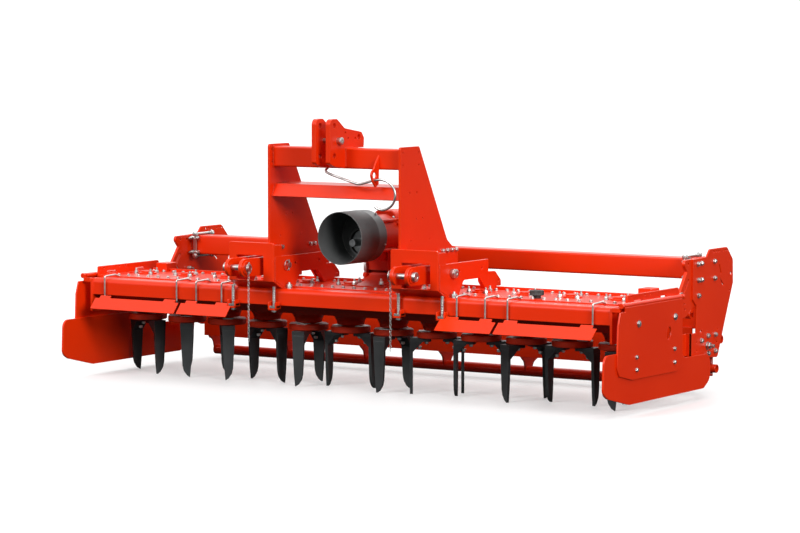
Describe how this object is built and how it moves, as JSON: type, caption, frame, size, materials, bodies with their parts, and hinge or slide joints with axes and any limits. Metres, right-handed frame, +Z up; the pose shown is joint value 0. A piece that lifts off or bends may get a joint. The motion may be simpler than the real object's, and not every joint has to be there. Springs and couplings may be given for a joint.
{
  "type": "power harrow",
  "caption": "Tractor mounted power harrow: long gear trough with a row of paired knife tine rotors, headstock, side shields, rear roller plates and a levelling board.",
  "frame": {"origin": "middle of the machine's footprint, at the level of the tine tips", "axes": "+X along the machine to its left as it drives, which is the viewer's right in the picture; -Y towards the tractor; +Z up"},
  "size_m": [3.132, 1.426, 1.3317],
  "materials": {
    "red_paint": "gloss",
    "zinc_steel": "satin",
    "bare_steel": "satin",
    "tine_steel": "satin",
    "guard_plastic": "matte"
  },
  "bodies": {
    "frame": {"gear_trough": "red_paint", "trough_cover": "red_paint", "gearbox": "red_paint", "pto_guard": "guard_plastic", "end_plate_left": "red_paint", "end_plate_right": "red_paint", "headstock_column_left": "red_paint", "headstock_column_right": "red_paint", "top_beam": "red_paint", "cross_member": "red_paint", "top_link_bracket": "red_paint", "top_link_pin": "zinc_steel", "hitch_box_left": "red_paint", "hitch_box_right": "red_paint", "link_pivot_pin_left": "zinc_steel", "link_pivot_pin_right": "zinc_steel", "stone_deflectors": "red_paint", "bearing_housings": "red_paint", "deflector_wires": "zinc_steel", "clamp_studs": "zinc_steel", "hose_holder": "zinc_steel", "filler_cap": "guard_plastic"},
    "input_shaft": {"pto_shaft": "bare_steel"},
    "lower_link_left": {"lower_link_left": "red_paint", "lower_link_pin_left": "zinc_steel"},
    "lower_link_right": {"lower_link_right": "red_paint", "lower_link_pin_right": "zinc_steel"},
    "shield_left": {"side_shield_left": "red_paint", "skid_plate_left": "red_paint"},
    "shield_right": {"side_shield_right": "red_paint", "skid_plate_right": "red_paint"},
    "rear_frame": {"rear_arm_left": "red_paint", "rear_arm_right": "red_paint", "rear_beam": "red_paint"},
    "levelling": {"levelling_board": "red_paint", "levelling_tube": "red_paint"},
    "rotor_01": {"rotor_01": "red_paint", "tines_01": "tine_steel"},
    "rotor_02": {"rotor_02": "red_paint", "tines_02": "tine_steel"},
    "rotor_03": {"rotor_03": "red_paint", "tines_03": "tine_steel"},
    "rotor_04": {"rotor_04": "red_paint", "tines_04": "tine_steel"},
    "rotor_05": {"rotor_05": "red_paint", "tines_05": "tine_steel"},
    "rotor_06": {"rotor_06": "red_paint", "tines_06": "tine_steel"},
    "rotor_07": {"rotor_07": "red_paint", "tines_07": "tine_steel"},
    "rotor_08": {"rotor_08": "red_paint", "tines_08": "tine_steel"},
    "rotor_09": {"rotor_09": "red_paint", "tines_09": "tine_steel"},
    "rotor_10": {"rotor_10": "red_paint", "tines_10": "tine_steel"},
    "rotor_11": {"rotor_11": "red_paint", "tines_11": "tine_steel"},
    "rotor_12": {"rotor_12": "red_paint", "tines_12": "tine_steel"}
  },
  "joints": [
    {"name": "rotor_01_spin", "type": "hinge", "parent": "frame", "child": "rotor_01", "pos_m": [-1.375, -0.209, 0.3], "axis": [0, 0, 1], "continuous": true},
    {"name": "rotor_02_spin", "type": "hinge", "parent": "frame", "child": "rotor_02", "pos_m": [-1.125, -0.209, 0.3], "axis": [0, 0, 1], "continuous": true},
    {"name": "rotor_03_spin", "type": "hinge", "parent": "frame", "child": "rotor_03", "pos_m": [-0.875, -0.209, 0.3], "axis": [0, 0, 1], "continuous": true},
    {"name": "rotor_04_spin", "type": "hinge", "parent": "frame", "child": "rotor_04", "pos_m": [-0.625, -0.209, 0.3], "axis": [0, 0, 1], "continuous": true},
    {"name": "rotor_05_spin", "type": "hinge", "parent": "frame", "child": "rotor_05", "pos_m": [-0.375, -0.209, 0.3], "axis": [0, 0, 1], "continuous": true},
    {"name": "rotor_06_spin", "type": "hinge", "parent": "frame", "child": "rotor_06", "pos_m": [-0.125, -0.209, 0.3], "axis": [0, 0, 1], "continuous": true},
    {"name": "rotor_07_spin", "type": "hinge", "parent": "frame", "child": "rotor_07", "pos_m": [0.125, -0.209, 0.3], "axis": [0, 0, 1], "continuous": true},
    {"name": "rotor_08_spin", "type": "hinge", "parent": "frame", "child": "rotor_08", "pos_m": [0.375, -0.209, 0.3], "axis": [0, 0, 1], "continuous": true},
    {"name": "rotor_09_spin", "type": "hinge", "parent": "frame", "child": "rotor_09", "pos_m": [0.625, -0.209, 0.3], "axis": [0, 0, 1], "continuous": true},
    {"name": "rotor_10_spin", "type": "hinge", "parent": "frame", "child": "rotor_10", "pos_m": [0.875, -0.209, 0.3], "axis": [0, 0, 1], "continuous": true},
    {"name": "rotor_11_spin", "type": "hinge", "parent": "frame", "child": "rotor_11", "pos_m": [1.125, -0.209, 0.3], "axis": [0, 0, 1], "continuous": true},
    {"name": "rotor_12_spin", "type": "hinge", "parent": "frame", "child": "rotor_12", "pos_m": [1.375, -0.209, 0.3], "axis": [0, 0, 1], "continuous": true},
    {"name": "input_spin", "type": "hinge", "parent": "frame", "child": "input_shaft", "pos_m": [0, -0.309, 0.725], "axis": [0, 1, 0], "continuous": true},
    {"name": "lower_link_left_float", "type": "hinge", "parent": "frame", "child": "lower_link_left", "pos_m": [-0.4785, -0.442, 0.609], "axis": [1, 0, 0], "range_deg": [-3, 8]},
    {"name": "lower_link_right_float", "type": "hinge", "parent": "frame", "child": "lower_link_right", "pos_m": [0.4785, -0.442, 0.609], "axis": [1, 0, 0], "range_deg": [-3, 8]},
    {"name": "shield_left_swing", "type": "hinge", "parent": "frame", "child": "shield_left", "pos_m": [-1.553, -0.209, 0.507], "axis": [0, 1, 0], "range_deg": [0, 20]},
    {"name": "shield_right_swing", "type": "hinge", "parent": "frame", "child": "shield_right", "pos_m": [1.553, -0.209, 0.507], "axis": [0, -1, 0], "range_deg": [0, 20]},
    {"name": "rear_frame_height", "type": "hinge", "parent": "frame", "child": "rear_frame", "pos_m": [0, 0.081, 0.44], "axis": [1, 0, 0], "range_deg": [-5, 5]},
    {"name": "levelling_height", "type": "slide", "parent": "rear_frame", "child": "levelling", "axis": [0, 0, 1], "range_m": [0, 0.06]}
  ],
  "couplings": [
    {"joint": "rotor_02_spin", "follows": "rotor_01_spin", "ratio": -1},
    {"joint": "rotor_03_spin", "follows": "rotor_01_spin", "ratio": 1},
    {"joint": "rotor_04_spin", "follows": "rotor_01_spin", "ratio": -1},
    {"joint": "rotor_05_spin", "follows": "rotor_01_spin", "ratio": 1},
    {"joint": "rotor_06_spin", "follows": "rotor_01_spin", "ratio": -1},
    {"joint": "rotor_07_spin", "follows": "rotor_01_spin", "ratio": 1},
    {"joint": "rotor_08_spin", "follows": "rotor_01_spin", "ratio": -1},
    {"joint": "rotor_09_spin", "follows": "rotor_01_spin", "ratio": 1},
    {"joint": "rotor_10_spin", "follows": "rotor_01_spin", "ratio": -1},
    {"joint": "rotor_11_spin", "follows": "rotor_01_spin", "ratio": 1},
    {"joint": "rotor_12_spin", "follows": "rotor_01_spin", "ratio": -1},
    {"joint": "input_spin", "follows": "rotor_01_spin", "ratio": 3}
  ]
}
